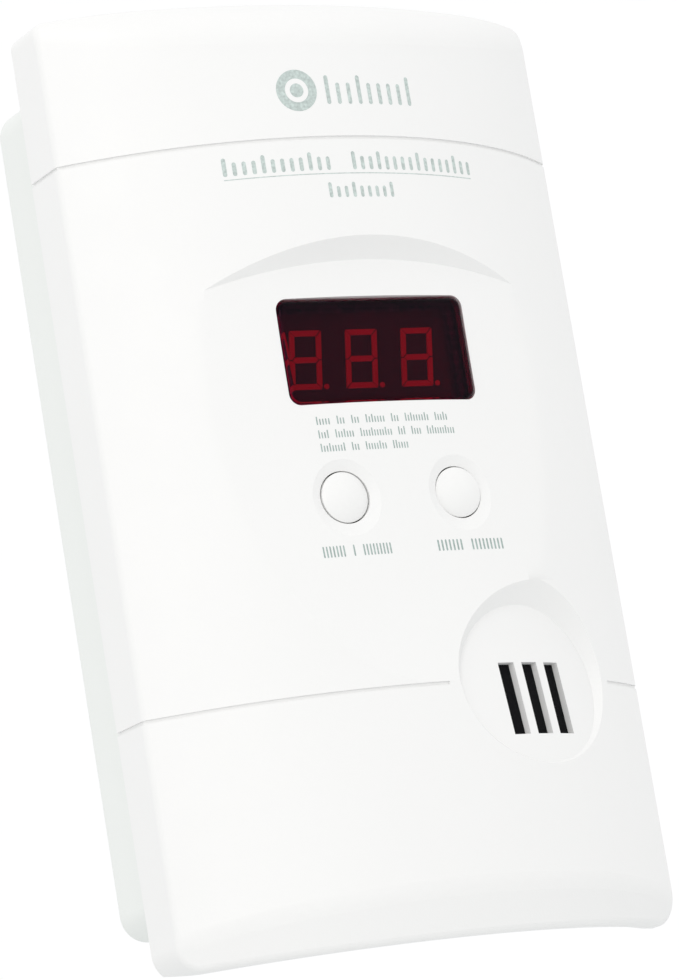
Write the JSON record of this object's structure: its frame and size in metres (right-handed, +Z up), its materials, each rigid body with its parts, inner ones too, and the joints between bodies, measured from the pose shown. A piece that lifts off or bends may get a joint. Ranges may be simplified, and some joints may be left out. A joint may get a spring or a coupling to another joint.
{
  "type": "carbon monoxide alarm",
  "caption": "Wall-mounted carbon monoxide alarm with crowned cover, digital display, push buttons, round sounder vent and hinged rear battery door.",
  "frame": {"origin": "centre of the flat back that lies on the wall, at mid height", "axes": "+Z up, +X to the right seen from the front, +Y out of the back into the wall; the crowned front faces -Y"},
  "size_m": [0.087, 0.038, 0.146],
  "materials": {
    "cover_plastic": "fine satin texture",
    "rear_plastic": "satin",
    "door_plastic": "satin",
    "lens_tint": "dark red tint",
    "module_plastic": "dark",
    "segment_plastic": "unlit red",
    "button_plastic": "satin",
    "black_plastic": "matt",
    "board_laminate": "green lacquer",
    "sensor_plastic": "matt",
    "filter_felt": "felt",
    "mesh_fabric": "woven",
    "piezo_brass": "satin",
    "component_black": "moulded",
    "capacitor_sleeve": "sleeved",
    "chip_ceramic": "matt",
    "battery_jacket": "wrapped",
    "contact_metal": "plated",
    "contact_black": "matt",
    "screw_steel": "zinc plated",
    "label_paper": "printed film",
    "print_ink": "matt grey print"
  },
  "bodies": {
    "housing": {"front_cover": "cover_plastic", "display_lens": "lens_tint", "display_module": "module_plastic", "display_digits": "segment_plastic", "test_switch": "contact_black", "peak_switch": "contact_black", "circuit_board": "board_laminate", "co_sensor": "sensor_plastic", "sensor_filter": "filter_felt", "sounder_case": "black_plastic", "piezo_disc": "piezo_brass", "vent_mesh": "mesh_fabric", "microcontroller": "component_black", "voltage_regulator": "component_black", "capacitors": "capacitor_sleeve", "resistors": "chip_ceramic", "rear_housing": "rear_plastic", "battery": "battery_jacket", "battery_terminals": "contact_metal", "battery_contacts": "contact_metal", "power_inlet": "black_plastic", "inlet_pin": "contact_metal", "housing_screws": "screw_steel", "board_screws": "screw_steel", "rating_label": "label_paper"},
    "test_button": {"test_button": "button_plastic", "test_plunger": "black_plastic"},
    "peak_button": {"peak_button": "button_plastic", "peak_plunger": "black_plastic"},
    "battery_door": {"battery_door": "door_plastic"}
  },
  "joints": [
    {"name": "test_button_press", "type": "slide", "parent": "housing", "child": "test_button", "axis": [0, 1, 0], "range_m": [0, 0.0006], "stiffness_N_per_m": 1500, "springref_m": -0.0003},
    {"name": "peak_button_press", "type": "slide", "parent": "housing", "child": "peak_button", "axis": [0, 1, 0], "range_m": [0, 0.0006], "stiffness_N_per_m": 1500, "springref_m": -0.0003},
    {"name": "battery_door_hinge", "type": "hinge", "parent": "housing", "child": "battery_door", "pos_m": [-0.002, -0.0009, 0.0194], "axis": [-1, 0, 0], "range_deg": [0, 100]}
  ]
}
